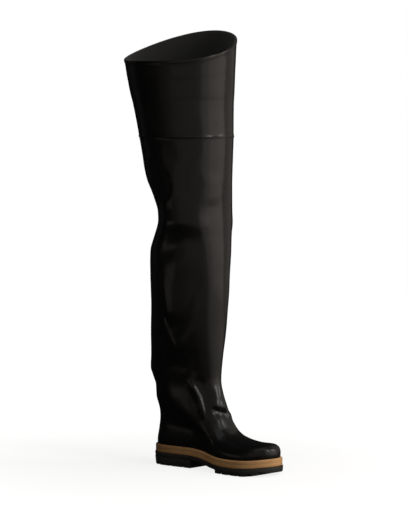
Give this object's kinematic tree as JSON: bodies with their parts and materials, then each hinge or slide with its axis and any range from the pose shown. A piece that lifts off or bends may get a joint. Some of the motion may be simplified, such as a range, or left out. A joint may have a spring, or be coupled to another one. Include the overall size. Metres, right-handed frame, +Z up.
{
  "type": "hip wader",
  "caption": "Left thigh-high rubber hip wader with a light midsole band, lugged sole, raised outer collar and hanging hip strap.",
  "frame": {"origin": "on the floor under the middle of the whole boot's box", "axes": "+Z up the shaft, -Y towards the toe, +X towards the outer side of the leg"},
  "size_m": [0.2104, 0.3536, 0.835],
  "materials": {
    "black_rubber": "satin",
    "felt_lining": "matte",
    "tan_rubber": "matte",
    "sole_rubber": "matte",
    "black_webbing": "matte",
    "ring_steel": "polished"
  },
  "bodies": {
    "root": {"upper": "black_rubber", "insole": "felt_lining", "midsole_band": "tan_rubber", "outsole": "sole_rubber", "heel": "sole_rubber", "strap_tab": "black_webbing", "strap_ring": "ring_steel", "strap": "black_webbing"}
  },
  "joints": []
}
